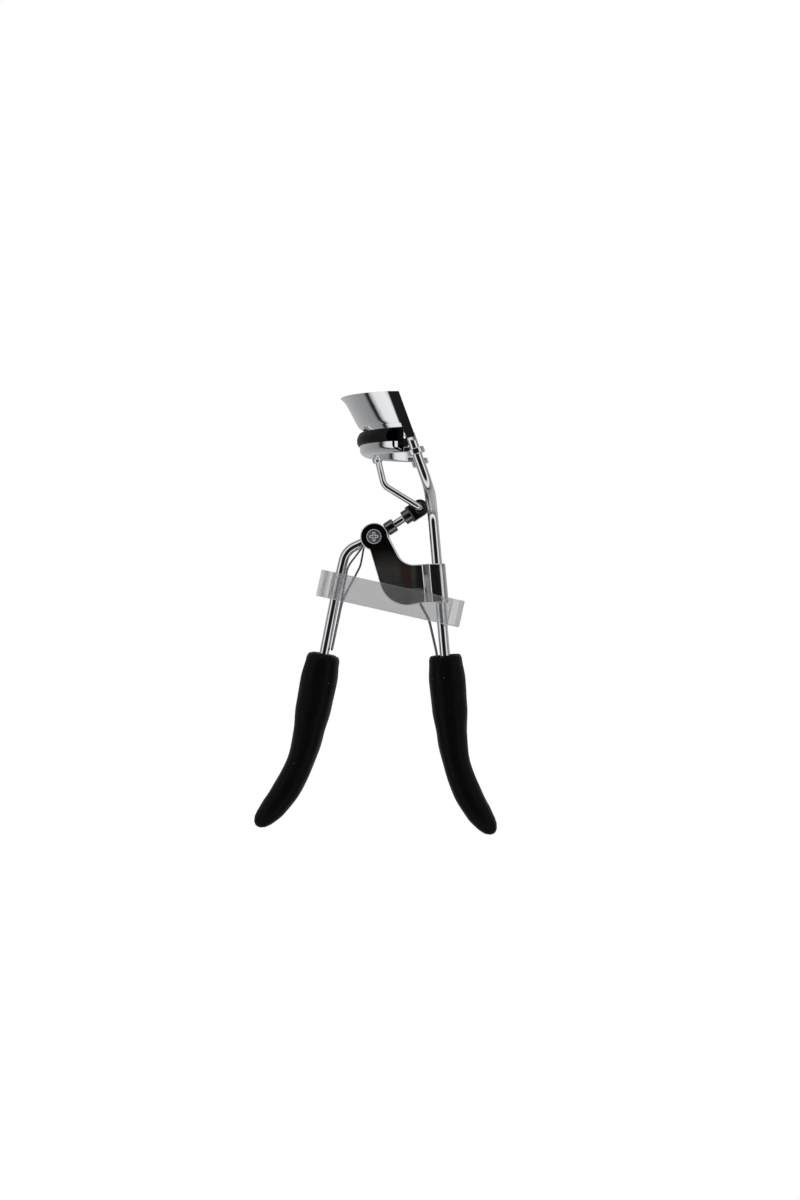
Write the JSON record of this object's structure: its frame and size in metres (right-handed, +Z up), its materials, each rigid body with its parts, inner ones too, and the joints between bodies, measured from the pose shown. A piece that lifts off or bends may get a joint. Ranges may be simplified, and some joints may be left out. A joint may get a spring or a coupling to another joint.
{
  "type": "eyelash curler",
  "caption": "Hand-squeezed eyelash curler: curved plate, sliding padded jaw, lever linkage, return spring, clear band and two curved grips.",
  "frame": {"origin": "under the middle of the bounding box, at the height of the lower grip's tip", "axes": "+Z up towards the jaws, +X towards the fixed handle, -Y the front"},
  "size_m": [0.0596, 0.0354, 0.1067],
  "materials": {
    "chrome": "polished",
    "grip": "satin",
    "silicone": "satin",
    "clear_plastic": "gloss",
    "spring_steel": "satin"
  },
  "bodies": {
    "frame": {"upper_jaw_plate": "chrome", "guide_rod_front": "chrome", "guide_rod_rear": "chrome", "bracket": "chrome", "pivot_screw": "chrome", "pivot_nut": "chrome", "washer_front": "chrome", "washer_rear": "chrome", "return_spring": "spring_steel", "retaining_band": "clear_plastic", "fixed_grip": "grip"},
    "lever": {"lever_arm": "chrome", "lever_collar": "chrome", "handle_rod": "chrome", "moving_grip": "grip"},
    "jaw": {"pad_carrier": "chrome", "silicone_pad": "silicone", "guide_front": "chrome", "guide_rear": "chrome", "push_rod": "chrome", "push_rod_ferrule": "chrome", "link_keeper": "chrome"}
  },
  "joints": [
    {"name": "lever_pivot", "type": "hinge", "parent": "frame", "child": "lever", "pos_m": [-0.00007, 0, 0.07282], "axis": [0, -1, 0], "range_deg": [-18, 2.5], "stiffness_Nm_per_rad": 0.3, "deforming": ["return_spring", "retaining_band"]},
    {"name": "jaw_slide", "type": "slide", "parent": "frame", "child": "jaw", "axis": [-0.342, 0, 0.9397], "range_m": [-0.00415, 0.0006]}
  ],
  "couplings": [
    {"joint": "jaw_slide", "follows": "lever_pivot", "m_per_rad": 0.01305}
  ]
}
